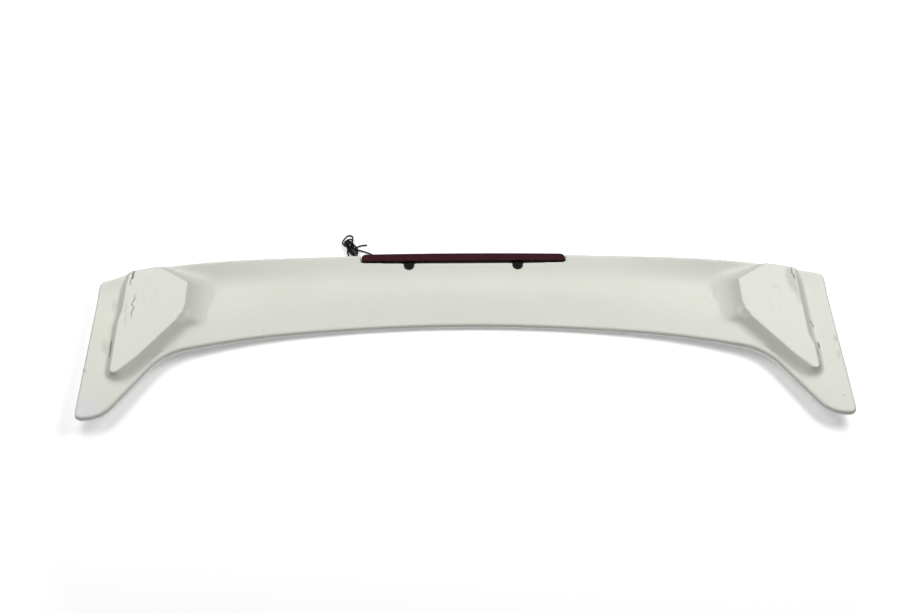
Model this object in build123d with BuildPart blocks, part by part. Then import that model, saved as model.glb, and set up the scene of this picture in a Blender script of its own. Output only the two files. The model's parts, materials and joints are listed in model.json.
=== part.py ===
from build123d import *
from math import cos, pi, radians, tan
import os

# Car rear spoiler with a third brake lamp, lying upside down on its crowned top skin.
# X runs across the car, Y points from the leg tips to the trailing edge, Z is up.
# The origin is on the floor, under the middle of the spoiler. Sizes are in millimetres.

# Plan of the spoiler
half_width = 621
far_y = 175.5
tip_y = -175.5
blade_chord = 147
far_flat_x = 300
far_flat_drop = 9
far_corner_drop = 61.5
flange_taper = 5
arch_x = 290
arch_drop = 18.5
knee_x = 495
knee_drop = 67
tip_width = 41
far_corner_radius = 13
tip_outer_radius = 10
tip_inner_radius = 55
knee_radius = 100

# Heights of the two skins, and how steeply each climbs towards the ends
skin_rise = 24.5
skin_power = 2.6
nose_gap = 2.5
edge_thickness = 9
nose_droop = 4
blade_underside = 21
leg_lift = 17
leg_power = 4
lip_width = 36
lip_start = 1.5
lip_height = 10
lip_climb = 11
lip_rise_x = 220
lip_full_x = 560
leg_sweep_x = 400
rib_count = 6
rib_margin = 40
rib_marks = (0, 0.14, 0.5, 0.73, 0.86, 1)
rim_bevel = 2.6

# Mounting feet
pad_z = 46
pad_outer_x = 567
pad_inner_x = 467
pad_apex_y = -104
pad_knee_y = 33
pad_knee_radius = 32
pad_apex_radius = 6
pad_rim_radius = 2
wall_depth = 21.5
wall_draft = 40
foot_blend_run = 95
foot_blend_angle = 46
foot_sink = 2
foot_fade_y = 58
slope_x = 494
slope_y = 117
slope_angle = 34
slope_drop = 20
slope_run = 60
foot_inset = 0.8
beyond = 400

# Third brake lamp, let into the trailing edge
lamp_half = 176
lamp_gap = 0.5
pocket_floor = 12
pocket_back = 158
housing_thickness = 3
housing_height = 17.5
lens_depth = 14.5
lens_bow = 2
lens_height = 18.5
lens_wall = 2
lens_corner_radius = 8
lens_edge_bevel = 1.2
tab_x = 94
tab_width = 17
tab_seat = 22.8
tab_thickness = 2.8
tab_root_radius = 3
screw_y = 152
screw_diameter = 3.9
screw_length = 12
screw_play = 0.2
head_diameter = 8
head_height = 2.4
head_bevel = 1
board_end_play = 9
board_side_play = 1.25
board_thickness = 1.6
led_count = 16
led_end_margin = 15
led_size = 5
led_height = 2

# Lead of the lamp, with its tied hank on the floor
lead_diameter = 2.6
lead_sides = 12
bend_share = 0.45
lead_play = 0.4
lead_x = -153
lead_z = 7.6
lead_start = 155
lead_out = 24
lead_fall = 18
lead_drift = 1.5
entry_run = 10
floor_play = 0.2
hank_x = -197.5
hank_y = 206.5
hank_width = 22
hank_depth = 33
hank_height = 11
hank_corner = 2
hank_bevel = 1.8
loop_width = 14
loop_reach = 20
loop_shift = -0.5
run_entry = 1
tail_entry = 12
tail_run = 8
tail_reach = 9.5
tail_turn = 3


def ease(x, start, end):
    """Smooth step from 0 at start to 1 at end."""
    share = min(1, max(0, (abs(x) - start) / (end - start)))
    return 0.5 - 0.5 * cos(pi * share)


def climb(x, power):
    """Share of the full climb at a distance from the middle."""
    return (abs(x) / half_width) ** power


near_mid = far_y - blade_chord
knee_y = near_mid - knee_drop
flange_x = half_width - flange_taper
flange_y = far_y - far_corner_drop
tip_x = half_width - tip_width


def near_edge_y(x):
    """Leading edge in plan, near enough to hang the sections on."""
    arch = near_mid - knee_drop * min(1, abs(x) / knee_x) ** skin_power
    return arch - (knee_y - tip_y) * ease(x, leg_sweep_x, half_width)


def wing_section(x):
    """One slice across the chord, with the underside on top and the painted skin below."""
    near = near_edge_y(x)
    far = far_y - far_corner_drop * climb(x, skin_power)
    middle = 0.5 * (near + far)
    skin = skin_rise * climb(x, skin_power)
    near_top = skin + nose_gap + edge_thickness
    mid_top = blade_underside + leg_lift * climb(x, leg_power)
    lip_top = blade_underside + lip_height + lip_climb * ease(x, lip_rise_x, lip_full_x)
    nose = near - rib_margin
    tail = far + rib_margin
    end_skin = skin + nose_gap * ((tail - nose) / (far - near)) ** 2
    underside = [
        (nose, near_top - nose_droop),
        (near, near_top),
        (middle, mid_top),
        (far - lip_width, max(mid_top, blade_underside + lip_start)),
        (far, lip_top),
        (tail, lip_top + lip_height),
    ]
    with BuildSketch(Plane.YZ.offset(x)) as section:
        with BuildLine():
            add(Edge.make_spline(underside, parameters=rib_marks))
            Line(underside[-1], (tail, end_skin))
            ThreePointArc((tail, end_skin), (middle, skin), (nose, end_skin))
            Line((nose, end_skin), underside[0])
        make_face()
    return section.sketch


def corner(sketch, x, y):
    """The corners of a mirrored outline at a given place."""
    return sketch.vertices().filter_by(lambda v: abs(abs(v.X) - x) < 1 and abs(v.Y - y) < 1)


with BuildSketch() as plan:
    with BuildLine():
        far_middle = TangentArc((0, far_y), (far_flat_x, far_y - far_flat_drop), tangent=(1, 0))
        far_shoulder = TangentArc(far_middle @ 1, (flange_x, flange_y), tangent=far_middle % 1)
        near_middle = TangentArc((0, near_mid), (arch_x, near_mid - arch_drop), tangent=(1, 0))
        near_shoulder = TangentArc(near_middle @ 1, (knee_x, knee_y), tangent=near_middle % 1)
        Polyline(near_shoulder @ 1, (tip_x, tip_y), (half_width, tip_y), far_shoulder @ 1)
        mirror(about=Plane.YZ)
    make_face()
    fillet(corner(plan, flange_x, flange_y), far_corner_radius)
    fillet(corner(plan, half_width, tip_y), tip_outer_radius)
    fillet(corner(plan, tip_x, tip_y), tip_inner_radius)
    fillet(corner(plan, knee_x, knee_y), knee_radius)

with BuildPart() as wing:
    rib_pitch = (half_width + rib_margin / 2) / rib_count
    loft([wing_section(rib * rib_pitch) for rib in range(-rib_count, rib_count + 1)])
    extrude(plan.sketch, amount=beyond, both=True, mode=Mode.INTERSECT)
    skins = wing.faces().sort_by(SortBy.AREA)[-2:]
    chamfer(skins.edges(), rim_bevel)

with BuildSketch() as foot_plan:
    add(plan.sketch)
    offset(amount=-foot_inset, kind=Kind.INTERSECTION)

with BuildSketch(Plane.XY.offset(pad_z)) as footprint:
    blend_x = pad_inner_x - foot_blend_run
    with BuildLine():
        Polyline(
            (pad_outer_x, beyond),
            (pad_outer_x, pad_apex_y),
            (pad_inner_x, pad_knee_y),
            (blend_x, foot_fade_y),
            (blend_x, beyond),
            close=True,
        )
    make_face()
    fillet(corner(footprint, pad_outer_x, pad_apex_y), pad_apex_radius)
    fillet(corner(footprint, pad_inner_x, pad_knee_y), pad_knee_radius)

with BuildPart() as foot:
    extrude(footprint.sketch, amount=-wall_depth, taper=-wall_draft)
    with BuildSketch(Plane.XZ) as hill:
        with BuildLine():
            blend_foot = (blend_x, blade_underside - foot_sink)
            blend_way = Vector(1, 0).rotate(Axis.Z, foot_blend_angle)
            blend = Spline(blend_foot, (pad_inner_x, pad_z), tangents=[(1, 0), blend_way])
            Polyline(blend @ 1, (half_width, pad_z), (half_width, 0), (blend_x, 0), blend @ 0)
        make_face()
    extrude(amount=beyond, both=True, mode=Mode.INTERSECT)
    along_slope = Vector(1, 0).rotate(Axis.Z, slope_angle)
    down_slope = along_slope.rotate(Axis.Z, 90)
    with BuildSketch(Plane(origin=(slope_x, slope_y), x_dir=down_slope, z_dir=along_slope)) as far_slope:
        with BuildLine():
            slope = TangentArc((slope_run, pad_z - slope_drop), (0, pad_z), tangent=(-1, 0))
            Polyline(slope @ 1, (-beyond, pad_z), (-beyond, 0), (slope_run, 0), slope @ 0)
        make_face()
    extrude(amount=beyond, both=True, mode=Mode.INTERSECT)
    extrude(foot_plan.sketch, amount=beyond, both=True, mode=Mode.INTERSECT)
    pad_face = foot.faces().sort_by(Axis.Z)[-1]
    print("pad centre", pad_face.center(), "area", round(pad_face.area), "solids", len(foot.solids()))
    fillet(pad_face.edges(), pad_rim_radius)

housing_front = pocket_back + housing_thickness
lens_front = housing_front + lens_depth
lens_bottom = pocket_floor + lamp_gap
board_front = housing_front + board_thickness
lamp_mid_z = lens_bottom + lens_height / 2
board_length = 2 * (lamp_half - lens_wall - board_end_play)
board_height = lens_height - 2 * (lens_wall + board_side_play)
led_pitch = (board_length - 2 * led_end_margin) / (led_count - 1)
screw_places = [(-tab_x, screw_y), (tab_x, screw_y)]

with BuildSketch() as tab_plan:
    with Locations((tab_x, screw_y)):
        Circle(tab_width / 2)
        Rectangle(tab_width, pocket_back - screw_y, align=(Align.CENTER, Align.MIN))
    with Locations((tab_x, pocket_back)):
        Rectangle(2 * tab_width, housing_thickness, align=(Align.CENTER, Align.MIN))
    for side in (-1, 1):
        fillet(corner(tab_plan, tab_x + side * tab_width / 2, pocket_back), tab_root_radius)
    mirror(about=Plane.YZ)

with BuildPart() as body:
    add(wing.part)
    add([foot.part, mirror(foot.part, about=Plane.YZ, mode=Mode.PRIVATE)])
    with BuildSketch(Plane.XY.offset(pocket_floor)) as pocket:
        with Locations((0, pocket_back)):
            Rectangle(2 * (lamp_half + lamp_gap), far_y, align=(Align.CENTER, Align.MIN))
    extrude(amount=pad_z, mode=Mode.SUBTRACT)
    with BuildSketch(Plane.XY.offset(tab_seat)) as seats:
        add(tab_plan.sketch.moved(Location((0, 0, tab_seat))))
        offset(amount=lamp_gap)
    extrude(amount=pad_z, mode=Mode.SUBTRACT)
    with BuildSketch(Plane.XY.offset(tab_seat)) as pilot_holes:
        with Locations(*screw_places):
            Circle((screw_diameter + screw_play) / 2)
    extrude(amount=-screw_length, mode=Mode.SUBTRACT)
    with BuildSketch(Plane.XZ.offset(-lead_start)) as lead_tunnel:
        with Locations((lead_x, lead_z)):
            Circle((lead_diameter + lead_play) / 2)
    extrude(amount=-far_y, mode=Mode.SUBTRACT)

with BuildPart() as housing:
    with BuildSketch(Plane.XY.offset(lens_bottom)) as back_plate:
        with Locations((0, pocket_back)):
            Rectangle(2 * lamp_half, housing_thickness, align=(Align.CENTER, Align.MIN))
    extrude(amount=housing_height)
    with BuildSketch(Plane.XY.offset(tab_seat)) as tabs:
        add(tab_plan.sketch.moved(Location((0, 0, tab_seat))))
        with Locations(*screw_places):
            Circle((screw_diameter + 2 * screw_play) / 2, mode=Mode.SUBTRACT)
    extrude(amount=tab_thickness)

with BuildPart() as lens:
    with BuildSketch(Plane.XY.offset(lens_bottom)) as lens_plan:
        with BuildLine():
            face = ThreePointArc(
                (-lamp_half, lens_front - lens_bow),
                (0, lens_front),
                (lamp_half, lens_front - lens_bow),
            )
            Polyline(face @ 1, (lamp_half, housing_front), (-lamp_half, housing_front), face @ 0)
        make_face()
        fillet(corner(lens_plan, lamp_half, lens_front - lens_bow), lens_corner_radius)
    extrude(amount=lens_height)
    offset(amount=-lens_wall, openings=lens.faces().sort_by(Axis.Y)[0])
    for level in (0, -1):
        rim = lens.faces().sort_by(Axis.Z)[level].edges()
        chamfer(rim.filter_by(lambda e: e.center().Y > housing_front + lens_edge_bevel), lens_edge_bevel)

with BuildPart() as circuit_board:
    with BuildSketch(Plane.XZ.offset(-housing_front)) as board_outline:
        with Locations((0, lamp_mid_z)):
            Rectangle(board_length, board_height)
    extrude(amount=-board_thickness)

with BuildPart() as leds:
    with BuildSketch(Plane.XZ.offset(-board_front)) as led_row:
        with Locations((0, lamp_mid_z)):
            with GridLocations(led_pitch, 0, led_count, 1):
                Rectangle(led_size, led_size)
    extrude(amount=-led_height)

with BuildPart() as screws:
    with BuildSketch(Plane.XY.offset(tab_seat + tab_thickness)) as shanks:
        with Locations(*screw_places):
            Circle(screw_diameter / 2)
    extrude(amount=-screw_length)
    with BuildSketch(Plane.XY.offset(tab_seat + tab_thickness)) as heads:
        with Locations(*screw_places):
            Circle(head_diameter / 2)
    extrude(amount=head_height)
    crowns = screws.faces().group_by(Axis.Z)[-1]
    chamfer(crowns.edges(), head_bevel)


def cord(name, points):
    """A length of lead along a route, flat-sided to stay light, with bends as wide as its runs allow."""
    route = [Vector(point) for point in points]
    radii = []
    for before, here, after in zip(route, route[1:], route[2:]):
        arriving = here - before
        leaving = after - here
        half_turn = radians(arriving.get_angle(leaving)) / 2
        radii.append(bend_share * min(arriving.length, leaving.length) / tan(half_turn))
    with BuildPart() as tube:
        with BuildLine():
            path = FilletPolyline(*route, radius=radii)
        with BuildSketch(Plane(origin=path @ 0, z_dir=path % 0)):
            section = RegularPolygon(lead_diameter / 2, lead_sides)
        sweep(path=path)
    filled = path.length * section.area
    print(name, "bend radii", [round(radius, 1) for radius in radii], "length", round(path.length, 1),
          "volume share", round(tube.part.volume / filled, 4))
    return tube


floor_z = lead_diameter / 2 + floor_play
hank_right = hank_x + hank_width / 2
hank_far = hank_y + hank_depth / 2
run_y = hank_y + run_entry
tail_y = hank_y + tail_entry
loop_near_x = hank_x + loop_shift + loop_width / 2
loop_far_x = hank_x + loop_shift - loop_width / 2

lead_run = cord("lead_run", [
    (lead_x, lead_start, lead_z),
    (lead_x, lead_start + lead_out, lead_z),
    (lead_x - lead_drift, lead_start + lead_out + lead_fall, floor_z),
    (hank_right + entry_run, run_y, floor_z),
    (hank_right, run_y, floor_z),
])
lead_loop = cord("lead_loop", [
    (loop_near_x, hank_far, floor_z),
    (loop_near_x, hank_far + loop_reach, floor_z),
    (loop_far_x, hank_far + loop_reach, floor_z),
    (loop_far_x, hank_far, floor_z),
])
lead_tail = cord("lead_tail", [
    (hank_right, tail_y, floor_z),
    (hank_right + tail_run, tail_y, floor_z),
    (hank_right + tail_run + tail_reach, tail_y + tail_turn, floor_z),
])

with BuildPart() as lead_hank:
    with BuildSketch() as hank_plan:
        with Locations((hank_x, hank_y)):
            RectangleRounded(hank_width, hank_depth, hank_corner)
    extrude(amount=hank_height)
    chamfer(lead_hank.faces().sort_by(Axis.Z)[-1].edges(), hank_bevel)

pieces = {
    "spoiler_body": body,
    "lamp_housing": housing,
    "lamp_lens": lens,
    "lamp_circuit_board": circuit_board,
    "lamp_leds": leds,
    "lamp_screws": screws,
    "lead_run": lead_run,
    "lead_hank": lead_hank,
    "lead_loop": lead_loop,
    "lead_tail": lead_tail,
}
os.makedirs("parts", exist_ok=True)
for name, piece in pieces.items():
    piece.part.label = name
    export_step(piece.part, f"parts/{name}.step")
    print(name, len(piece.solids()), "solids", round(piece.part.volume / 1000, 2), "cm3", piece.part.bounding_box())
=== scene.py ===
# %% [markdown]
# A car's rear spoiler lies upside down on a white studio floor. Its shape comes from the imported model, so this
# lesson starts by loading that model as a fixed frame, in metres.

# %% Load the spoiler
import bpy
import json
import math
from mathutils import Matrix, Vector

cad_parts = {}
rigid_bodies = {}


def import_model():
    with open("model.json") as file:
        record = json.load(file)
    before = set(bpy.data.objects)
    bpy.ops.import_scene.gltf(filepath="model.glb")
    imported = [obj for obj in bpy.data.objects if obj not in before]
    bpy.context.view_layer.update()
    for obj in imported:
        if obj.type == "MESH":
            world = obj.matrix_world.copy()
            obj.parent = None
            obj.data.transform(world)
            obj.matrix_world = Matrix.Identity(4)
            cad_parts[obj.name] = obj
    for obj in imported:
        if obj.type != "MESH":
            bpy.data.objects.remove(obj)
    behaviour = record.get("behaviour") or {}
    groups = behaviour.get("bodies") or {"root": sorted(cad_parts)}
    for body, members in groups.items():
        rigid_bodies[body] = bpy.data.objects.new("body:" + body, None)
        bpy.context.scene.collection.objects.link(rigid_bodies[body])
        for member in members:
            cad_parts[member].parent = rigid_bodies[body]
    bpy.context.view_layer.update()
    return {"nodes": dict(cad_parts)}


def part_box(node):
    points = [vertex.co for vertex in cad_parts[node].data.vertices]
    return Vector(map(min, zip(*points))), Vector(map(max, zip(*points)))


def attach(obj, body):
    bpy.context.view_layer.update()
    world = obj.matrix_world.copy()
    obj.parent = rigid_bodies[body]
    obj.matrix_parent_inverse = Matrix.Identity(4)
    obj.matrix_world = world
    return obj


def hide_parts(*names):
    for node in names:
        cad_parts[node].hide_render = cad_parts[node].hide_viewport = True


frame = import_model()
body_name = "root"
print("nodes", list(frame["nodes"]))
print("body", body_name)

# %% [markdown]
# The photograph looks down at the underside from the leg tips, about 50 degrees above the floor, through a
# slightly long lens. The camera is aimed at one point of the blade, and a small roll tilts it as the photographer
# held it. The length of the lens is known in pixels of the picture, and is turned into millimetres of the sensor.

# %% Camera
look_at = Vector((-0.0075, 0.063, 0.020))
camera_distance = 2.514
camera_rise = math.radians(50)
camera_swing = math.radians(-1.909)
camera_roll = math.radians(1.092)
sensor_width = 36
lens_pixels = 1485
picture_pixels = 920
far_clip = 50

away = Vector((
    math.sin(camera_swing) * math.cos(camera_rise),
    -math.cos(camera_swing) * math.cos(camera_rise),
    math.sin(camera_rise),
))
bpy.ops.object.camera_add(location=look_at + camera_distance * away)
camera = bpy.context.object
camera.name = "studio_camera"
camera.rotation_euler = (-away).to_track_quat("-Z", "Y").to_euler()
camera.rotation_euler.rotate_axis("Z", camera_roll)
camera.data.sensor_width = sensor_width
camera.data.lens = sensor_width * lens_pixels / picture_pixels
camera.data.clip_end = far_clip
bpy.context.scene.camera = camera
print("camera at", [round(v, 4) for v in camera.location], "lens", round(camera.data.lens, 1), "mm")

# %% [markdown]
# The brake lamp's lead is a limp black wire with a cut end. It leaves the trailing edge, drops to the floor and
# ends in a small hank: five long turns, one loose loop and two wraps round the waist. A wire is best drawn as one
# smooth curve with a round bevel, so the whole lead is a single spline. Its run and tail repeat the route of the
# solid model, and a loop works out the turns of the hank, each a little different from the last.

# %% The run of the lead
lead_diameter = 0.0026
lead_run = [
    (-0.153, 0.155, 0.0076),
    (-0.153, 0.179, 0.0076),
    (-0.1545, 0.197, 0.0015),
    (-0.1765, 0.2075, 0.0015),
    (-0.1865, 0.2090, 0.0030),
]
waist = Vector((-0.1985, 0.2155, 0))
along = Vector((0.33, -0.944, 0)).normalized()
across = Vector((-along.y, along.x, 0))


def hank_point(reach, side, height):
    """A place in the hank: so far from its waist, so far to the side and so high, in millimetres."""
    place = waist + along * (reach / 1000) + across * (side / 1000)
    return (place.x, place.y, height / 1000)


print("run of", len(lead_run), "points")

# %% The turns of the hank
turns = [
    {"near": 21, "near_side": -3.4, "near_half": 5.2, "far": 14, "far_side": -0.6, "far_half": 5.2, "low": 3.4},
    {"near": 18, "near_side": 1.2, "near_half": 5.4, "far": 11, "far_side": 0.8, "far_half": 5.4, "low": 5.2},
    {"near": 23, "near_side": 2.6, "near_half": 5.0, "far": 12, "far_side": -1.2, "far_half": 5.2, "low": 6.8},
    {"near": 16, "near_side": -1.6, "near_half": 5.6, "far": 9, "far_side": -2.2, "far_half": 5.4, "low": 8.4},
    {"near": 20, "near_side": 4.4, "near_half": 5.2, "far": 10, "far_side": 2.0, "far_half": 5.2, "low": 9.8},
]
waist_half = 2.6
tip = 2.5
first_layer = 1.4
layer_height = 2.0
lead_turns = []
for layer, turn in enumerate(turns):
    low = turn["low"]
    droop = first_layer + layer_height * layer
    halfway = 0.5 * (low + droop)
    near, near_side, near_half = turn["near"], turn["near_side"], turn["near_half"]
    far, far_side, far_half = turn["far"], turn["far_side"], turn["far_half"]
    lead_turns += [
        hank_point(0, waist_half, low),
        hank_point(-0.5 * far, far_side + 0.95 * far_half, halfway),
        hank_point(-0.9 * far, far_side + far_half, droop),
        hank_point(-far - tip, far_side + 0.55 * far_half, droop),
        hank_point(-far - tip, far_side - 0.55 * far_half, droop),
        hank_point(-0.9 * far, far_side - far_half, droop),
        hank_point(-0.5 * far, far_side - 0.95 * far_half, halfway),
        hank_point(0, -waist_half, low),
        hank_point(0.4 * near, near_side - 0.9 * near_half, halfway),
        hank_point(0.8 * near, near_side - near_half, droop),
        hank_point(near + tip, near_side - 0.55 * near_half, droop),
        hank_point(near + tip, near_side + 0.55 * near_half, droop),
        hank_point(0.8 * near, near_side + near_half, droop),
        hank_point(0.4 * near, near_side + 0.9 * near_half, halfway),
    ]
print(len(turns), "turns of", len(lead_turns) // len(turns), "points")

# %% The loose loop, the wraps and the tail
lead_loop = [
    hank_point(-2, 2.9, 9.2),
    (-0.1940, 0.2260, 0.0060),
    (-0.1945, 0.2360, 0.0024),
    (-0.1950, 0.2442, 0.0015),
    (-0.2035, 0.2450, 0.0015),
    (-0.2095, 0.2362, 0.0015),
    (-0.2130, 0.2272, 0.0015),
    (-0.2090, 0.2200, 0.0015),
]
wrap_radius = 6.2
wrap_height = 7.6
wrap_start = -3.2
wrap_pitch = 0.26
wrap_steps = 26
first_angle = 255
angle_step = 30
lead_wraps = []
for step in range(wrap_steps):
    angle = math.radians(first_angle + angle_step * step)
    lead_wraps.append(hank_point(
        wrap_start + wrap_pitch * step,
        wrap_radius * math.cos(angle),
        wrap_height + wrap_radius * math.sin(angle),
    ))
lead_tail = [
    hank_point(3.6, 7.6, 1.6),
    (-0.1840, 0.2180, 0.0015),
    (-0.1770, 0.2212, 0.0015),
    (-0.1685, 0.2216, 0.0015),
]
lead_points = lead_run + lead_turns + lead_loop + lead_wraps + lead_tail
print("lead drawn with", len(lead_points), "points")

# %% [markdown]
# The points become one smooth curve. Each point carries the radius of the wire and the bevel is left at 1, so that
# the two multiply to the true thickness.

# %% The lead as one curve
lead_line = bpy.data.curves.new("lamp_lead", "CURVE")
lead_line.dimensions = "3D"
lead_spline = lead_line.splines.new("NURBS")
lead_spline.points.add(len(lead_points) - 1)
for point, place in zip(lead_spline.points, lead_points):
    point.co = (*place, 1)
    point.radius = lead_diameter / 2
lead_spline.order_u = 3
lead_spline.use_endpoint_u = True
lead_spline.resolution_u = 6
lead_line.bevel_depth = 1
lead_line.bevel_resolution = 4
lead_line.use_fill_caps = True
lead = bpy.data.objects.new("lamp_lead", lead_line)
bpy.context.collection.objects.link(lead)
lead_length = lead_spline.calc_length()
print("lead is", round(lead_length, 3), "m long")
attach(lead, body_name)
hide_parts("lead_run", "lead_hank", "lead_loop", "lead_tail")

# %% [markdown]
# Every finish starts the same way: a new material whose shader takes its numbers from a few pattern nodes. Four
# small helpers keep the node code short enough to read.


# %% Helpers for finishes
def new_finish(name, colour, roughness):
    """A material with a Principled shader, and its node tree."""
    finish = bpy.data.materials.new(name)
    finish.use_nodes = True
    shader = finish.node_tree.nodes["Principled BSDF"]
    shader.inputs["Base Color"].default_value = (*colour, 1)
    shader.inputs["Roughness"].default_value = roughness
    return finish, finish.node_tree, shader


def put(tree, kind, values=(), **settings):
    """Add a node, with settings by name and input values by name or number."""
    node = tree.nodes.new("ShaderNode" + kind)
    for key, value in settings.items():
        setattr(node, key, value)
    for key, value in dict(values).items():
        if isinstance(value, bpy.types.NodeSocket):
            tree.links.new(value, node.inputs[key])
        else:
            node.inputs[key].default_value = value
    return node


def new_group(name, takes, gives):
    """An empty shader node group with named inputs and outputs, and its two end nodes."""
    group = bpy.data.node_groups.new(name, "ShaderNodeTree")
    for socket, kind, value in takes:
        made = group.interface.new_socket(socket, in_out="INPUT", socket_type="NodeSocket" + kind)
        if value is not None:
            made.default_value = value
    for socket, kind in gives:
        group.interface.new_socket(socket, in_out="OUTPUT", socket_type="NodeSocket" + kind)
    return group, group.nodes.new("NodeGroupInput"), group.nodes.new("NodeGroupOutput")


def dress(piece, finish):
    """Give a piece one finish and no other."""
    piece.data.materials.clear()
    piece.data.materials.append(finish)


print("helpers ready")

# %% [markdown]
# The spoiler was photographed on plain white. A large plane makes the floor. Its shader is a pale diffuse surface
# that takes the shadow, with a little glow, so the paper comes out white. Only the camera and shiny or clear
# surfaces see the glow, so it lights nothing, and it grows away from the spoiler, where the lamps reach less.


# %% Floor
def seen_directly(tree):
    """A mask that is 1 for rays from the camera, from a glossy surface or through a clear one."""
    path = put(tree, "LightPath")
    mask = path.outputs["Is Camera Ray"]
    for kind in ("Is Glossy Ray", "Is Transmission Ray"):
        either = put(tree, "Math", {0: mask, 1: path.outputs[kind]}, operation="MAXIMUM")
        mask = either.outputs[0]
    return mask


floor_size = 12
floor_drop = 0.0005
bpy.ops.mesh.primitive_plane_add(size=floor_size, location=(0, 0, -floor_drop))
floor = bpy.context.object
floor.name = "studio_floor"
paper = bpy.data.materials.new("white_paper")
paper.use_nodes = True
tree = paper.node_tree
tree.nodes.clear()
diffuse = put(tree, "BsdfDiffuse", {"Color": (0.9, 0.9, 0.9, 1)})
where = put(tree, "TexCoord")
from_spoiler = put(tree, "VectorMath", {0: where.outputs["Object"]}, operation="LENGTH")
outwards = put(tree, "MapRange", {"Value": from_spoiler.outputs["Value"], "From Min": 0.75, "From Max": 1.6,
                                  "To Min": 0.25, "To Max": 1.0})
glow_strength = put(tree, "Math", {0: seen_directly(tree), 1: outwards.outputs[0]}, operation="MULTIPLY")
glow = put(tree, "Emission", {"Strength": glow_strength.outputs[0]})
both = put(tree, "AddShader", {0: diffuse.outputs[0], 1: glow.outputs[0]})
put(tree, "OutputMaterial", {"Surface": both.outputs[0]})
floor.data.materials.append(paper)
print("floor", floor.name)

# %% [markdown]
# The light is that of a product studio: two wide soft boxes hang above the feet, a little behind the middle of the
# spoiler, a small one stands low on the left, and the surround is weak and white. Flat faces look up at the boxes and
# come out bright. The walls of the feet that face the camera turn away from them, so they come out grey. That is all
# the drawing a white part gets.

# %% Light
surround_light = 0.1
world = bpy.data.worlds.new("studio_surround")
bpy.context.scene.world = world
world.use_nodes = True
tree = world.node_tree
surround = tree.nodes["Background"]
surround.inputs["Color"].default_value = (1, 1, 1, 1)
surround_strength = put(tree, "Math", {0: seen_directly(tree), 1: surround_light}, operation="MAXIMUM")
tree.links.new(surround_strength.outputs[0], surround.inputs["Strength"])

for name, place, wide, deep, power in (
    ("soft_box_left", (-0.85, 0.4, 1.5), 1.3, 0.8, 15),
    ("soft_box_right", (1.0, 0.4, 1.5), 1.3, 0.8, 23.5),
    ("low_box_left", (-1.5, 0.15, 0.75), 0.8, 0.6, 3.2),
):
    bpy.ops.object.light_add(type="AREA", location=place)
    soft_box = bpy.context.object
    soft_box.name = name
    soft_box.data.shape = "RECTANGLE"
    soft_box.data.size = wide
    soft_box.data.size_y = deep
    soft_box.data.energy = power
    soft_box.rotation_euler = (look_at - soft_box.location).to_track_quat("-Z", "Y").to_euler()
    print(name, power, "W")
bpy.context.scene.view_settings.view_transform = "Standard"
print("view transform", bpy.context.scene.view_settings.view_transform)

# %% [markdown]
# The spoiler is blow moulded: hot plastic pressed into a mould leaves soft hollows where the feet rise from the legs,
# while the flat pads stay crisp. The solid model has the shape with sharp hollows. So its mesh is copied, its loose
# triangles are merged, and a voxel remesh gives it an even skin of small faces that can be smoothed like clay. A
# shrinkwrap then lays that skin back on the true surface, which takes the steps of the voxels out of it.

# %% Copy the body with an even skin
merge_distance = 0.00001
skin_face_size = 0.0024


def copy_node(node, name):
    """A copy of a node's mesh as a new piece, its triangles merged, selected and active."""
    bpy.ops.object.select_all(action="DESELECT")
    piece = bpy.data.objects.new(name, frame["nodes"][node].data.copy())
    piece.data.name = name
    bpy.context.collection.objects.link(piece)
    bpy.context.view_layer.objects.active = piece
    piece.select_set(True)
    bpy.ops.object.mode_set(mode="EDIT")
    bpy.ops.mesh.select_all(action="SELECT")
    bpy.ops.mesh.remove_doubles(threshold=merge_distance)
    bpy.ops.mesh.customdata_custom_splitnormals_clear()
    bpy.ops.object.mode_set(mode="OBJECT")
    return piece


shell = copy_node("spoiler_body", "spoiler_shell")
even_skin = shell.modifiers.new("even_skin", "REMESH")
even_skin.mode = "VOXEL"
even_skin.voxel_size = skin_face_size
bpy.ops.object.modifier_apply(modifier=even_skin.name)
true_skin = shell.modifiers.new("true_skin", "SHRINKWRAP")
true_skin.target = frame["nodes"]["spoiler_body"]
true_skin.wrap_method = "NEAREST_SURFACEPOINT"
bpy.ops.object.modifier_apply(modifier=true_skin.name)
print("skin of", len(shell.data.polygons), "faces")

# %% [markdown]
# The hollows round the feet are smoothed most. The faces of the underside are picked by their normals, the pick is
# shrunk away from the rims, and the pads are left out, so that their edges hold while the walls below them relax. The
# hill on the inner side of each foot gives way only a little near its top.

# %% Pick the hollows
pad_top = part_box("spoiler_body")[1].z
pad_margin = 0.0008
pad_fade = 0.0015
hollow_start = 0.33
hollow_fade = 0.05
hill_top = 0.470
hill_foot = 0.435
hill_fade = 0.04
hill_near = 0.036
hill_far = 0.085
least_give = 0.06
underside_up = 0.25
rings_off_rim = 4


def share(value):
    """A value held between 0 and 1."""
    return min(1, max(0, value))


def pick_faces(piece, wanted):
    """Select the faces of a piece whose centre and normal are wanted."""
    bpy.ops.object.mode_set(mode="EDIT")
    bpy.ops.mesh.select_mode(type="FACE")
    bpy.ops.mesh.select_all(action="DESELECT")
    bpy.ops.object.mode_set(mode="OBJECT")
    for face in piece.data.polygons:
        face.select = wanted(face.center, face.normal)
    bpy.ops.object.mode_set(mode="EDIT")


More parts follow.
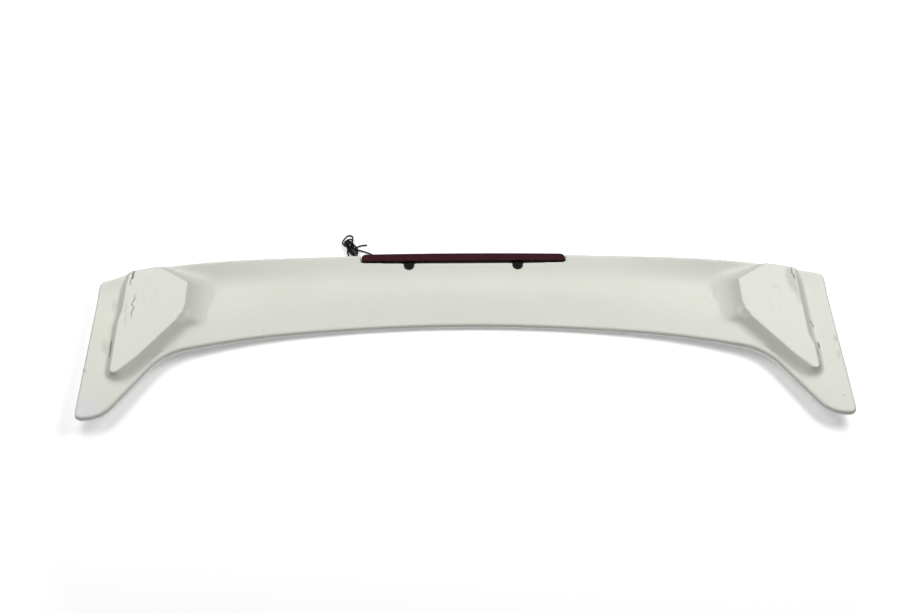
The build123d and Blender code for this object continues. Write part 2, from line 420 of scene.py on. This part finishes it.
pick_faces(shell, lambda centre, normal: normal.z > underside_up and abs(centre.x) > hollow_start)
bpy.ops.mesh.select_mode(type="VERT")
for ring in range(rings_off_rim):
    bpy.ops.mesh.select_less()
bpy.ops.object.mode_set(mode="OBJECT")
hollows = shell.vertex_groups.new(name="hollows")
for point in shell.data.vertices:
    if point.select:
        below_pad = share((pad_top - pad_margin - point.co.z) / pad_fade)
        from_middle = share((abs(point.co.x) - hollow_start) / hollow_fade)
        on_hill = abs(point.co.x) < hill_top and hill_near < point.co.y < hill_far
        give = max(least_give, share((hill_foot - abs(point.co.x)) / hill_fade)) if on_hill else 1
        hollows.add([point.index], below_pad * from_middle * give, "REPLACE")
print("hollows picked")

# %% [markdown]
# The rims are the faces that look sideways, with two rings of the skin round them.

# %% Pick the rims
rim_down = -0.8
rim_up = 0.5
rings_round_rim = 2
pick_faces(shell, lambda centre, normal: rim_down < normal.z < rim_up)
bpy.ops.mesh.select_mode(type="VERT")
for ring in range(rings_round_rim):
    bpy.ops.mesh.select_more()
bpy.ops.object.mode_set(mode="OBJECT")
rims = shell.vertex_groups.new(name="rims")
rims.add([point.index for point in shell.data.vertices if point.select], 1, "REPLACE")
print("rims picked")

# %% [markdown]
# Now the skin relaxes: the hollows for many rounds, the rims for a few, and the whole of it for one.

# %% Relax the hollows, the rims and the whole skin
for name, rounds, group in (("relax_hollows", 60, "hollows"), ("relax_rims", 3, "rims"), ("relax_skin", 1, "")):
    relax = shell.modifiers.new(name, "SMOOTH")
    relax.factor = 0.5
    relax.iterations = rounds
    relax.vertex_group = group
    bpy.ops.object.modifier_apply(modifier=relax.name)
bpy.ops.object.shade_smooth()
print("hollows relaxed")

# %% [markdown]
# The pads of the real part run a little wider towards the leg tips, and their knees are rounder. Proportional editing
# pulls such a place by a few millimetres and lets the skin round it follow, as a thumb would in clay. Each row of the
# list names a place, two corners of the box that holds it, the pull, and how far round it the skin follows. The far
# corners of the flanges are set the same way.


# %% Pull the pads into shape
def pull(piece, low, high, shift, reach):
    """Pull the vertices in a box, with the skin round them, all in millimetres."""
    bpy.ops.object.mode_set(mode="EDIT")
    bpy.ops.mesh.select_mode(type="VERT")
    bpy.ops.mesh.select_all(action="DESELECT")
    bpy.ops.object.mode_set(mode="OBJECT")
    for point in piece.data.vertices:
        place = 1000 * point.co
        point.select = all(a <= v <= b for a, v, b in zip(low, place, high))
    bpy.ops.object.mode_set(mode="EDIT")
    bpy.ops.transform.translate(
        value=Vector(shift) / 1000, use_proportional_edit=True, proportional_edit_falloff="SMOOTH",
        proportional_size=reach / 1000, use_proportional_connected=True)
    bpy.ops.object.mode_set(mode="OBJECT")


pulls = [
    ("outer edge of the left pad, near", (-569, -95, 44.5), (-564, 10, 46.5), (-7, 0, 0), 36),
    ("outer edge of the left pad, far", (-569, 40, 44.5), (-564, 90, 46.5), (-3, 0, 0), 36),
    ("outer edge of the right pad, near", (564, -95, 44.5), (569, -50, 46.5), (6, 0, 0), 36),
    ("tip of the left pad", (-578, -106, 44.5), (-556, -97, 46.5), (1, -6, 0), 30),
    ("tip of the right pad", (556, -106, 44.5), (578, -97, 46.5), (-1, -6, 0), 30),
    ("knee of the left pad", (-471, 27, 44.5), (-463, 38, 46.5), (-2.5, 2, 0), 14),
    ("knee of the right pad", (463, 27, 44.5), (471, 38, 46.5), (2.5, 2, 0), 14),
    ("far corner of the left flange", (-624, 100, 20), (-604, 130, 44), (-1, -8, 0), 50),
    ("far corner of the right flange", (604, 100, 20), (624, 130, 44), (1, 1, 0), 40),
]
for title, low, high, shift, reach in pulls:
    pull(shell, low, high, shift, reach)
    print("pulled", title)

# %% [markdown]
# The finished shell takes the place of the solid body in the frame.

# %% Put the shell in the body's place
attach(shell, body_name)
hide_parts("spoiler_body")
print("shell spans", [round(v, 4) for v in shell.dimensions])

# %% [markdown]
# The photograph shows a used part: hairline cracks on one pad, black scuffs by the outer edges of the feet, and grey
# smudges. Two dark lines on the flanges, along the outer walls of the feet, are painted shade in the creases there.
# One node group draws a wandering scratch and another a soft smudge. Each takes a place on the part, so the marks
# stay where they are from every side.


# %% Scratch group
def turned_from(tree, where, given):
    """Object coordinates measured from a mark's place and turned to lie along it."""
    from_place = put(tree, "VectorMath", {0: where.outputs["Object"], 1: given.outputs["Place"]},
                     operation="SUBTRACT")
    return put(tree, "VectorRotate", {"Vector": from_place.outputs[0], "Angle": given.outputs["Turn"]},
               rotation_type="Z_AXIS", invert=True)


scratch_depth = 0.012
scratch, given, result = new_group(
    "wandering_scratch",
    [("Place", "Vector", None), ("Turn", "Float", 0), ("Length", "Float", 0.03), ("Width", "Float", 0.0008),
     ("Wander", "Float", 0.002), ("Ripple", "Float", 120)],
    [("Mask", "Float")],
)
where = put(scratch, "TexCoord")
turned = turned_from(scratch, where, given)
parts = put(scratch, "SeparateXYZ", {0: turned.outputs[0]})
ripple = put(scratch, "Math", {0: parts.outputs["X"], 1: given.outputs["Ripple"]}, operation="MULTIPLY")
wave = put(scratch, "TexNoise", {"W": ripple.outputs[0], "Scale": 1.0, "Detail": 3.0}, noise_dimensions="1D")
centred = put(scratch, "Math", {0: wave.outputs[0], 1: 0.5}, operation="SUBTRACT")
swing = put(scratch, "Math", {0: centred.outputs[0], 1: given.outputs["Wander"]}, operation="MULTIPLY")
aside = put(scratch, "Math", {0: parts.outputs["Y"], 1: swing.outputs[0]}, operation="SUBTRACT")
aside_size = put(scratch, "Math", {0: aside.outputs[0]}, operation="ABSOLUTE")
line = put(scratch, "MapRange", {"Value": aside_size.outputs[0], "From Min": 0.0,
                                 "From Max": given.outputs["Width"], "To Min": 1.0, "To Max": 0.0},
           interpolation_type="SMOOTHSTEP")
along_size = put(scratch, "Math", {0: parts.outputs["X"]}, operation="ABSOLUTE")
half_length = put(scratch, "Math", {0: given.outputs["Length"], 1: 0.5}, operation="MULTIPLY")
fade_start = put(scratch, "Math", {0: given.outputs["Length"], 1: 0.3}, operation="MULTIPLY")
ends = put(scratch, "MapRange", {"Value": along_size.outputs[0], "From Min": fade_start.outputs[0],
                                 "From Max": half_length.outputs[0], "To Min": 1.0, "To Max": 0.0})
deep = put(scratch, "Math", {0: parts.outputs["Z"]}, operation="ABSOLUTE")
near_face = put(scratch, "Math", {0: deep.outputs[0], 1: scratch_depth}, operation="LESS_THAN")
breaks = put(scratch, "TexNoise", {"Vector": turned.outputs[0], "Scale": 260.0, "Detail": 2.0})
broken = put(scratch, "MapRange", {"Value": breaks.outputs[0], "From Min": 0.3, "From Max": 0.44})
drawn = put(scratch, "Math", {0: line.outputs[0], 1: ends.outputs[0]}, operation="MULTIPLY")
chipped = put(scratch, "Math", {0: drawn.outputs[0], 1: broken.outputs[0]}, operation="MULTIPLY")
kept = put(scratch, "Math", {0: chipped.outputs[0], 1: near_face.outputs[0]}, operation="MULTIPLY")
scratch.links.new(kept.outputs[0], result.inputs["Mask"])
print("group", scratch.name, len(scratch.nodes), "nodes")

# %% Smudge group
smudge_depth = 0.014
smudge, given, result = new_group(
    "soft_smudge",
    [("Place", "Vector", None), ("Turn", "Float", 0), ("Length", "Float", 0.03), ("Width", "Float", 0.01),
     ("Patchiness", "Float", 0.8)],
    [("Mask", "Float"), ("Ring", "Float")],
)
where = put(smudge, "TexCoord")
turned = turned_from(smudge, where, given)
parts = put(smudge, "SeparateXYZ", {0: turned.outputs[0]})
half_length = put(smudge, "Math", {0: given.outputs["Length"], 1: 0.5}, operation="MULTIPLY")
half_width = put(smudge, "Math", {0: given.outputs["Width"], 1: 0.5}, operation="MULTIPLY")
along_share = put(smudge, "Math", {0: parts.outputs["X"], 1: half_length.outputs[0]}, operation="DIVIDE")
aside_share = put(smudge, "Math", {0: parts.outputs["Y"], 1: half_width.outputs[0]}, operation="DIVIDE")
deep_share = put(smudge, "Math", {0: parts.outputs["Z"], 1: smudge_depth}, operation="DIVIDE")
shares = put(smudge, "CombineXYZ", {0: along_share.outputs[0], 1: aside_share.outputs[0],
                                    2: deep_share.outputs[0]})
reach = put(smudge, "VectorMath", {0: shares.outputs[0]}, operation="LENGTH")
cloud = put(smudge, "TexNoise", {"Vector": where.outputs["Object"], "Scale": 170.0, "Detail": 4.0,
                                 "Roughness": 0.65})
cloud_centred = put(smudge, "Math", {0: cloud.outputs[0], 1: 0.5}, operation="SUBTRACT")
patches = put(smudge, "Math", {0: cloud_centred.outputs[0], 1: given.outputs["Patchiness"]}, operation="MULTIPLY")
frayed = put(smudge, "Math", {0: reach.outputs["Value"], 1: patches.outputs[0]}, operation="ADD")
filled = put(smudge, "MapRange", {"Value": frayed.outputs[0], "From Min": 0.35, "From Max": 1.0,
                                  "To Min": 1.0, "To Max": 0.0}, interpolation_type="SMOOTHSTEP")
off_ring = put(smudge, "Math", {0: frayed.outputs[0], 1: 0.9}, operation="SUBTRACT")
ring_size = put(smudge, "Math", {0: off_ring.outputs[0]}, operation="ABSOLUTE")
outline = put(smudge, "MapRange", {"Value": ring_size.outputs[0], "From Min": 0.0, "From Max": 0.14,
                                   "To Min": 1.0, "To Max": 0.0}, interpolation_type="SMOOTHSTEP")
worn = put(smudge, "TexNoise", {"Vector": where.outputs["Object"], "Scale": 65.0, "Detail": 3.0})
patchy = put(smudge, "MapRange", {"Value": worn.outputs[0], "From Min": 0.42, "From Max": 0.58})
ring = put(smudge, "Math", {0: outline.outputs[0], 1: patchy.outputs[0]}, operation="MULTIPLY")
smudge.links.new(filled.outputs[0], result.inputs["Mask"])
smudge.links.new(ring.outputs[0], result.inputs["Ring"])
print("group", smudge.name, len(smudge.nodes), "nodes")

# %% [markdown]
# Plastic is never one flat tone. A third group gives the slow mottle of a moulded face, a fine grain for the bump,
# and a few specks of dirt. The body, the lamp and the lead all take it at their own scales.

# %% Moulded grain group
grain, given, result = new_group(
    "moulded_grain",
    [("Mottle Scale", "Float", 14), ("Grain Scale", "Float", 700), ("Speck Scale", "Float", 90)],
    [("Mottle", "Float"), ("Height", "Float"), ("Specks", "Float")],
)
where = put(grain, "TexCoord")
mottle = put(grain, "TexNoise", {"Vector": where.outputs["Object"], "Scale": given.outputs["Mottle Scale"],
                                 "Detail": 4.0, "Roughness": 0.55})
fine = put(grain, "TexNoise", {"Vector": where.outputs["Object"], "Scale": given.outputs["Grain Scale"],
                               "Detail": 3.0, "Roughness": 0.6})
cells = put(grain, "TexVoronoi", {"Vector": where.outputs["Object"], "Scale": given.outputs["Speck Scale"]})
dot = put(grain, "MapRange", {"Value": cells.outputs["Distance"], "From Min": 0.03, "From Max": 0.07,
                              "To Min": 1.0, "To Max": 0.0})
pick = put(grain, "SeparateXYZ", {0: cells.outputs["Color"]})
rare = put(grain, "Math", {0: pick.outputs[0], 1: 0.93}, operation="GREATER_THAN")
specks = put(grain, "Math", {0: dot.outputs[0], 1: rare.outputs[0]}, operation="MULTIPLY")
grain.links.new(mottle.outputs[0], result.inputs["Mottle"])
grain.links.new(fine.outputs[0], result.inputs["Height"])
grain.links.new(specks.outputs[0], result.inputs["Specks"])
print("group", grain.name, len(grain.nodes), "nodes")

# %% [markdown]
# The body is white plastic, painted glossy on the skin that faces the floor and left matte on the underside. The
# direction of the surface tells the two apart. The mottle tints the white a little green and grey, as in the
# photograph, and the grain gives the matte side its dull tooth. Slopes are painted darker than flat faces, the
# steeper
# the darker: a painted shade that stands in for the light falling off on the walls of the feet.

# %% White body: paint, plastic, grain and painted shade on slopes
greyer_white = (0.64, 0.652, 0.588, 1)
paler_white = (0.675, 0.69, 0.625, 1)
slope_shade_grey = (0.48, 0.49, 0.445, 1)
paint_white = (0.82, 0.82, 0.8, 1)
paint_roughness = 0.18
body_white, tree, shader = new_finish("white_body", (0.66, 0.675, 0.61), 0.5)
shader.inputs["Specular IOR Level"].default_value = 0.35
shader.inputs["Coat Roughness"].default_value = 0.08
body_grain = put(tree, "Group", {"Mottle Scale": 9, "Grain Scale": 900, "Speck Scale": 60}, node_tree=grain)
where = put(tree, "TexCoord")
facing = put(tree, "SeparateXYZ", {0: where.outputs["Normal"]})
skin_side = put(tree, "MapRange", {"Value": facing.outputs["Z"], "From Min": 0.3, "From Max": -0.1})
tint = put(tree, "MapRange", {"Value": body_grain.outputs["Mottle"], "From Min": 0.3, "From Max": 0.7})
white = put(tree, "Mix", {"Factor": tint.outputs[0], "A": greyer_white, "B": paler_white}, data_type="RGBA")
# Painted shade: the steeper a face, the more its white is mixed toward grey, as if less light fell on it.
sideways = put(tree, "VectorMath", {0: where.outputs["Normal"], 1: (1, 1, 0)}, operation="MULTIPLY")
steepness = put(tree, "VectorMath", {0: sideways.outputs[0]}, operation="LENGTH")
slope = put(tree, "MapRange", {"Value": steepness.outputs["Value"], "From Min": 0.0, "From Max": 0.7},
            interpolation_type="SMOOTHSTEP")
slope_shaded = put(tree, "Mix", {"Factor": slope.outputs[0], "A": white.outputs["Result"], "B": slope_shade_grey},
             data_type="RGBA")
painted = put(tree, "Mix", {"Factor": skin_side.outputs[0], "A": slope_shaded.outputs["Result"], "B": paint_white},
              data_type="RGBA")
matte = put(tree, "MapRange", {"Value": body_grain.outputs["Mottle"], "From Min": 0.3, "From Max": 0.7,
                               "To Min": 0.5, "To Max": 0.62})
gloss = put(tree, "Mix", {"Factor": skin_side.outputs[0], "A": matte.outputs[0], "B": paint_roughness})
body_bump = put(tree, "Bump", {"Height": body_grain.outputs["Height"], "Strength": 0.25, "Distance": 0.0003})
tree.links.new(skin_side.outputs[0], shader.inputs["Coat Weight"])
tree.links.new(gloss.outputs[0], shader.inputs["Roughness"])
tree.links.new(body_bump.outputs[0], shader.inputs["Normal"])
print("white body begun")

# %% [markdown]
# The marks are short lists. Each mark has its place on the part in millimetres, its angle in degrees, its length and
# width in millimetres, and at the end how dark it is. A scratch also says how far it wanders and how often, and a
# smudge says its colour. A loop places one group for each and lays its colour over the white.


# %% White body: scratches and painted crease shade
def place_mark(tree, group, title, place, angle, length, width):
    """A node of a scratch or smudge group at a place on the part, in millimetres and degrees."""
    return put(tree, "Group", {
        "Place": [v / 1000 for v in place],
        "Turn": math.radians(angle),
        "Length": length / 1000,
        "Width": width / 1000,
    }, node_tree=group, label=title)


def lay_over(tree, colour, mask, depth, stain):
    """Lay a stain, or a line of painted shade, over a colour, as deep as its mask and its depth say, and give the new
    colour.
    """
    strength = put(tree, "Math", {0: mask, 1: depth}, operation="MULTIPLY")
    laid = put(tree, "Mix", {"Factor": strength.outputs[0], "A": colour, "B": stain}, data_type="RGBA")
    return laid.outputs["Result"]


scuff_and_shade_black = (0.02, 0.02, 0.022, 1)
scratch_and_shade_lines = [
    ("black scuff on the left pad", (-560.9, 115.0, 46), -97, 24, 3.2, 5, 120, 0.95),
    ("lower end of that scuff", (-563.0, 99.0, 46), -97, 14, 2.0, 6, 120, 0.6),
    ("crack on the left pad", (-552.9, 47.0, 46), -93, 58, 2.2, 15, 70, 0.62),
    ("fine crack beside it", (-562.9, 33.1, 46), -86, 56, 1.4, 8, 90, 0.3),
    # Painted shade: a dark line on the flange along the outer wall of the left foot, where the crease lies in shadow.
    ("painted crease shade by the left foot", (-579.8, -37.3, 40), -88, 44, 2.6, 2, 60, 0.85),
    ("scuff by the right foot", (561.6, 110.2, 46), -84, 30, 2.8, 6, 120, 0.7),
    ("nick in the right hollow", (579.6, 7.5, 40), -83, 17, 2.4, 4, 120, 0.6),
    # Painted shade: the same dark line in the crease by the right foot.
    ("painted crease shade by the right foot", (582.3, -38.3, 40), -95, 16, 2.6, 2, 90, 0.9),
    ("scrape on the right edge", (575.5, -56.8, 45), -97, 20, 1.6, 2, 90, 0.5),
    ("scrape lower on the right edge", (575.5, -82.7, 45), -100, 20, 1.6, 2, 90, 0.5),
]
colour = painted.outputs["Result"]
for title, place, angle, length, width, wander, ripple, depth in scratch_and_shade_lines:
    mark = place_mark(tree, scratch, title, place, angle, length, width)
    mark.inputs["Wander"].default_value = wander / 1000
    mark.inputs["Ripple"].default_value = ripple
    colour = lay_over(tree, colour, mark.outputs["Mask"], depth, scuff_and_shade_black)
print(len(scratch_and_shade_lines), "scratch_and_shade_lines")

# %% White body: smudges and stains
grey = (0.05, 0.05, 0.052, 1)
lavender = (0.64, 0.63, 0.74, 1)
yellowed = (0.66, 0.62, 0.44, 1)
smudges = [
    ("grey on the left flange", (-586.9, 58.1, 37), -83, 40, 13, grey, 0.14),
    ("grey lower on the left flange", (-590.4, -32.5, 37), -82, 44, 14, grey, 0.16),
    ("specks on the left rim", (-616.0, -81.0, 35), -62, 16, 6, grey, 0.3),
    ("scuff cloud on the right pad", (557.0, 98.0, 46), -86, 84, 22, grey, 0.24),
    ("grey tail on the right pad", (563.8, 62.0, 46), -89, 56, 14, grey, 0.15),
    ("grey on the right flange", (611.8, -24.8, 36), -94, 22, 8, grey, 0.2),
    ("grey lower on the right flange", (611.1, -59.5, 36), -96, 28, 7, grey, 0.16),
    ("mark near the blade's edge", (-336.1, 16.0, 14), 0, 6, 5, grey, 0.25),
    ("speck on the right of the blade", (420.0, 63.0, 21), 0, 4, 4, grey, 0.4),
    ("speck near the right tip", (605.4, -141.5, 36), 0, 5, 5, grey, 0.3),
    ("cool stain on the left tip", (-604.0, -158.0, 36), -60, 76, 50, lavender, 0.35),
    ("yellowed patch on the left flange", (-597.0, 5.0, 36), -83, 120, 40, yellowed, 0.07),
    ("yellowed patch on the right flange", (604.0, -63.6, 36), -96, 60, 26, yellowed, 0.25),
]
for title, place, angle, length, width, stain, depth in smudges:
    mark = place_mark(tree, smudge, title, place, angle, length, width)
    colour = lay_over(tree, colour, mark.outputs["Mask"], depth, stain)
print(len(smudges), "smudges")

# %% White body: faint ovals and specks
oval_grey = (0.2, 0.2, 0.19, 1)
dirt = (0.12, 0.11, 0.1, 1)
speck_depth = 0.35
for title, place, angle, length, width, patchiness, depth in (
    ("oval mark on the left pad", (-528.5, 78.0, 46), -83, 70, 26, 1.6, 0.12),
    ("oval mark on the right pad", (523.0, 52.0, 46), -99, 72, 20, 0.5, 0.16),
):
    oval = place_mark(tree, smudge, title, place, angle, length, width)
    oval.inputs["Patchiness"].default_value = patchiness
    colour = lay_over(tree, colour, oval.outputs["Ring"], depth, oval_grey)
colour = lay_over(tree, colour, body_grain.outputs["Specks"], speck_depth, dirt)
tree.links.new(colour, shader.inputs["Base Color"])
dress(shell, body_white)
print("white body has", len(tree.nodes), "nodes")

# %% [markdown]
# The third brake lamp is a long red lens clipped over a black housing. The real lens laps back over the edge of the
# housing, so only a thin dark line shows between red and white. The copy of the lens is cut by a plane near its top,
# and the thin upper band of its back edge is extruded over the housing.

# %% Lamp cover
cover = copy_node("lamp_lens", "lamp_cover")
lap_clearance = 0.00005
lap_length = 0.0028
lap_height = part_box("lamp_housing")[1].z + lap_clearance
back_margin = 0.0002
lens_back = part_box("lamp_lens")[0].y + back_margin
looks_back = -0.9
bpy.ops.object.mode_set(mode="EDIT")
bpy.ops.mesh.select_all(action="SELECT")
bpy.ops.mesh.bisect(plane_co=(0, 0, lap_height), plane_no=(0, 0, 1))
bpy.ops.object.mode_set(mode="OBJECT")
pick_faces(cover, lambda centre, normal: normal.y < looks_back and centre.z > lap_height and centre.y < lens_back)
bpy.ops.mesh.extrude_region_move(TRANSFORM_OT_translate={"value": (0, -lap_length, 0)})
bpy.ops.object.mode_set(mode="OBJECT")
bpy.ops.object.shade_smooth_by_angle(angle=math.radians(35))
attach(cover, body_name)
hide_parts("lamp_lens")
print("cover has", len(cover.data.polygons), "faces")

# %% [markdown]
# A small black screw with a cross recess holds each tab of the housing. One is turned from a cylinder: its rim is
# rounded with a bevel and two crossed bars are cut out of its head. The other is a copy, moved in its own mesh.

# %% Screw head
screw_low, screw_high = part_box("lamp_screws")
head_radius = 0.004
head_height = 0.0024
rim_rounding = 0.0008
head_place = Vector((
    screw_low.x + head_radius,
    0.5 * (screw_low.y + screw_high.y),
    screw_high.z - head_height / 2,
))
bpy.ops.mesh.primitive_cylinder_add(vertices=32, radius=head_radius, depth=head_height, location=head_place)
screw = bpy.context.object
screw.name = "lamp_screw_left"
round_rim = screw.modifiers.new("round_rim", "BEVEL")
round_rim.width = rim_rounding
round_rim.segments = 3
round_rim.limit_method = "ANGLE"
bpy.ops.object.modifier_apply(modifier=round_rim.name)
print("screw head at", [round(v, 4) for v in head_place])

# %% Cross recess and second screw
bar_length = 0.0046
bar_width = 0.0011
bar_height = 0.0016
for bar_size in ((bar_length, bar_width, bar_height), (bar_width, bar_length, bar_height)):
    bpy.ops.mesh.primitive_cube_add(size=1, location=(head_place.x, head_place.y, screw_high.z))
    bar = bpy.context.object
    bpy.ops.object.mode_set(mode="EDIT")
    bpy.ops.transform.resize(value=bar_size)
    bpy.ops.object.mode_set(mode="OBJECT")
    recess = screw.modifiers.new("recess", "BOOLEAN")
    recess.object = bar
    recess.solver = "EXACT"
    bpy.context.view_layer.objects.active = screw
    bpy.ops.object.modifier_apply(modifier=recess.name)
    bpy.data.objects.remove(bar)
bpy.ops.object.select_all(action="DESELECT")
screw.select_set(True)
bpy.context.view_layer.objects.active = screw
bpy.ops.object.transform_apply(location=True, rotation=True, scale=True)
bpy.ops.object.shade_smooth_by_angle(angle=math.radians(30))
bpy.ops.object.duplicate()
other_screw = bpy.context.object
other_screw.name = "lamp_screw_right"
bpy.ops.object.mode_set(mode="EDIT")
bpy.ops.mesh.select_all(action="SELECT")
bpy.ops.transform.translate(value=(-2 * head_place.x, 0, 0))
bpy.ops.object.mode_set(mode="OBJECT")
for head in (screw, other_screw):
    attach(head, body_name)
    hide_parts("lamp_screws")
print("screws of", len(screw.data.polygons), "faces each")

# %% [markdown]
# The lens is deep red plastic, nearly black where little light gets in. Fine flutes on its inside spread the light of
# the diodes, so a wave pattern gives it a faint ribbed bump. It is clear enough for a little of the light to enter.

# %% Red lens
deep_red = (0.03, 0.006, 0.009, 1)
clear_red = (0.043, 0.007, 0.011, 1)
lens_dust = (0.3, 0.25, 0.25, 1)
lamp_red, tree, shader = new_finish("lamp_red", (0.055, 0.010, 0.016), 0.18)
shader.inputs["IOR"].default_value = 1.49
shader.inputs["Transmission Weight"].default_value = 0.06
shader.inputs["Specular IOR Level"].default_value = 0.05
lens_grain = put(tree, "Group", {"Mottle Scale": 30, "Grain Scale": 500, "Speck Scale": 110}, node_tree=grain)
where = put(tree, "TexCoord")
flutes = put(tree, "TexWave", {"Vector": where.outputs["Object"], "Scale": 105.0}, bands_direction="X")
uneven = put(tree, "MapRange", {"Value": lens_grain.outputs["Mottle"], "From Min": 0.3, "From Max": 0.7})
red = put(tree, "Mix", {"Factor": uneven.outputs[0], "A": deep_red, "B": clear_red}, data_type="RGBA")
dusty = put(tree, "Mix", {"Factor": lens_grain.outputs["Specks"], "A": red.outputs["Result"], "B": lens_dust},
            data_type="RGBA")
hazy = put(tree, "MapRange", {"Value": lens_grain.outputs["Mottle"], "From Min": 0.3, "From Max": 0.7,
                              "To Min": 0.26, "To Max": 0.4})
rib_bump = put(tree, "Bump", {"Height": flutes.outputs["Fac"], "Strength": 0.08, "Distance": 0.0003})
tree.links.new(dusty.outputs["Result"], shader.inputs["Base Color"])
tree.links.new(hazy.outputs[0], shader.inputs["Roughness"])
tree.links.new(rib_bump.outputs[0], shader.inputs["Normal"])
dress(cover, lamp_red)
print("lens finish has", len(tree.nodes), "nodes")

# %% [markdown]
# The housing, the screws and the lead are all black, but not the same black: the moulding is dull and grained, the
# screws are coated steel, and the insulation of the lead is smooth and a little dusty. One loop builds the three from
# the grain group, each with its own tones, gloss and grain size.

# %% Blacks of the lamp
black_specular = 0.12
pale_dust = (0.2, 0.19, 0.18, 1)
black_finishes = {}
for name, dark, pale, smooth, rough, metal, grain_size, height in (
    ("black_moulding", 0.003, 0.008, 0.5, 0.65, 0.0, 1500, 0.0002),
    ("coated_steel", 0.003, 0.007, 0.45, 0.6, 0.1, 2200, 0.00008),
    ("black_insulation", 0.002, 0.008, 0.4, 0.6, 0.0, 1100, 0.0001),
):
    finish, tree, shader = new_finish(name, (dark, dark, dark), smooth)
    shader.inputs["Metallic"].default_value = metal
    shader.inputs["Specular IOR Level"].default_value = black_specular
    own_grain = put(tree, "Group", {"Mottle Scale": grain_size / 8, "Grain Scale": grain_size, "Speck Scale": 400},
                    node_tree=grain)
    spread = put(tree, "MapRange", {"Value": own_grain.outputs["Mottle"], "From Min": 0.35, "From Max": 0.7})
    tone = put(tree, "Mix", {"Factor": spread.outputs[0], "A": (dark, dark, dark, 1),
                             "B": (pale, pale, 0.97 * pale, 1)}, data_type="RGBA")
    dusted = put(tree, "Mix", {"Factor": own_grain.outputs["Specks"], "A": tone.outputs["Result"], "B": pale_dust},
                 data_type="RGBA")
    shine = put(tree, "MapRange", {"Value": own_grain.outputs["Mottle"], "From Min": 0.3, "From Max": 0.7,
                                   "To Min": smooth, "To Max": rough})
    tooth = put(tree, "Bump", {"Height": own_grain.outputs["Height"], "Strength": 0.3, "Distance": height})
    tree.links.new(dusted.outputs["Result"], shader.inputs["Base Color"])
    tree.links.new(shine.outputs[0], shader.inputs["Roughness"])
    tree.links.new(tooth.outputs[0], shader.inputs["Normal"])
    black_finishes[name] = finish
frame["nodes"]["lamp_housing"].data.materials[0] = black_finishes["black_moulding"]
for head in (screw, other_screw):
    dress(head, black_finishes["coated_steel"])
lead_line.materials.append(black_finishes["black_insulation"])
print("blacks", list(black_finishes))

# %% [markdown]
# Behind the lens sits a narrow green circuit board with a row of diodes. They are hardly seen, but the part may be
# looked at from anywhere, so the board gets the pale copper tracks of a brick pattern and the diodes a clear resin.

# %% Board and diodes
board_green, tree, shader = new_finish("green_board", (0.015, 0.09, 0.04), 0.4)
where = put(tree, "TexCoord")
upright = put(tree, "Mapping", {"Vector": where.outputs["Object"], "Rotation": (math.radians(90), 0, 0)})
tracks = put(tree, "TexBrick", {"Vector": upright.outputs[0], "Color1": (0.012, 0.08, 0.035, 1),
                                "Color2": (0.018, 0.1, 0.045, 1), "Mortar": (0.1, 0.2, 0.08, 1), "Scale": 60.0,
                                "Mortar Size": 0.04})
track_bump = put(tree, "Bump", {"Height": tracks.outputs["Fac"], "Strength": 0.2, "Distance": 0.0001})
tree.links.new(tracks.outputs["Color"], shader.inputs["Base Color"])
tree.links.new(track_bump.outputs[0], shader.inputs["Normal"])
frame["nodes"]["lamp_circuit_board"].data.materials[0] = board_green
resin, tree, shader = new_finish("diode_resin", (0.75, 0.7, 0.5), 0.2)
resin_grain = put(tree, "Group", {"Mottle Scale": 300}, node_tree=grain)
cloudy = put(tree, "Mix", {"Factor": resin_grain.outputs["Mottle"], "A": (0.8, 0.76, 0.58, 1),
                           "B": (0.62, 0.56, 0.3, 1)}, data_type="RGBA")
tree.links.new(cloudy.outputs["Result"], shader.inputs["Base Color"])
frame["nodes"]["lamp_leds"].data.materials[0] = resin
print("board and diodes finished")
